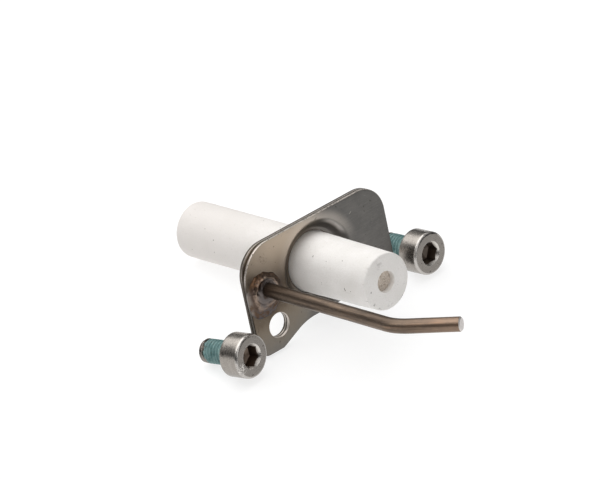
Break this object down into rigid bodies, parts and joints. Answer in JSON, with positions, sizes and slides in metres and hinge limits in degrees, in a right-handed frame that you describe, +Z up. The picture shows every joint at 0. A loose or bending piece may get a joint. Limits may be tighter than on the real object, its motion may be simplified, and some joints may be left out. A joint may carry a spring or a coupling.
{
  "type": "ignition electrode",
  "caption": "Burner ignition electrode: ceramic insulator clamped in a flat steel flange with a bent earth rod welded to it, and loose socket head mounting screws.",
  "frame": {"origin": "on the insulator's axis, in the seating face of the flange (rear surface of the rear plate)", "axes": "+X along the insulator towards the spark end, +Z up across the flange from the screw holes towards its straight edge, +Y to the side away from the earth rod"},
  "size_m": [0.0884, 0.06, 0.0236],
  "materials": {
    "alumina": "matte, unglazed",
    "cement": "matte, grainy",
    "conductor": "satin",
    "terminal": "satin",
    "flange": "satin stainless sheet with heat tint",
    "rod": "oxidised",
    "weld": "rough, heat tinted",
    "screw": "satin",
    "threadlock": "dry coating"
  },
  "bodies": {
    "electrode": {"ceramic_insulator": "alumina", "front_cement": "cement", "spark_conductor": "conductor", "rear_terminal": "terminal", "rear_seal": "cement", "front_plate": "flange", "rear_plate": "flange", "earth_rod": "rod", "weld_bead": "weld"},
    "left_screw_loose": {"left_screw": "screw", "left_threadlock": "threadlock"},
    "right_screw_loose": {"right_screw": "screw", "right_threadlock": "threadlock"}
  },
  "joints": [
    {"name": "left_screw_slide", "type": "slide", "parent": "electrode", "child": "left_screw_loose", "axis": [0.9903, 0.1304, 0.0489], "range_m": [0, 0.02]},
    {"name": "right_screw_slide", "type": "slide", "parent": "electrode", "child": "right_screw_loose", "axis": [0.9986, 0.0523, 0], "range_m": [0, 0.02]}
  ]
}
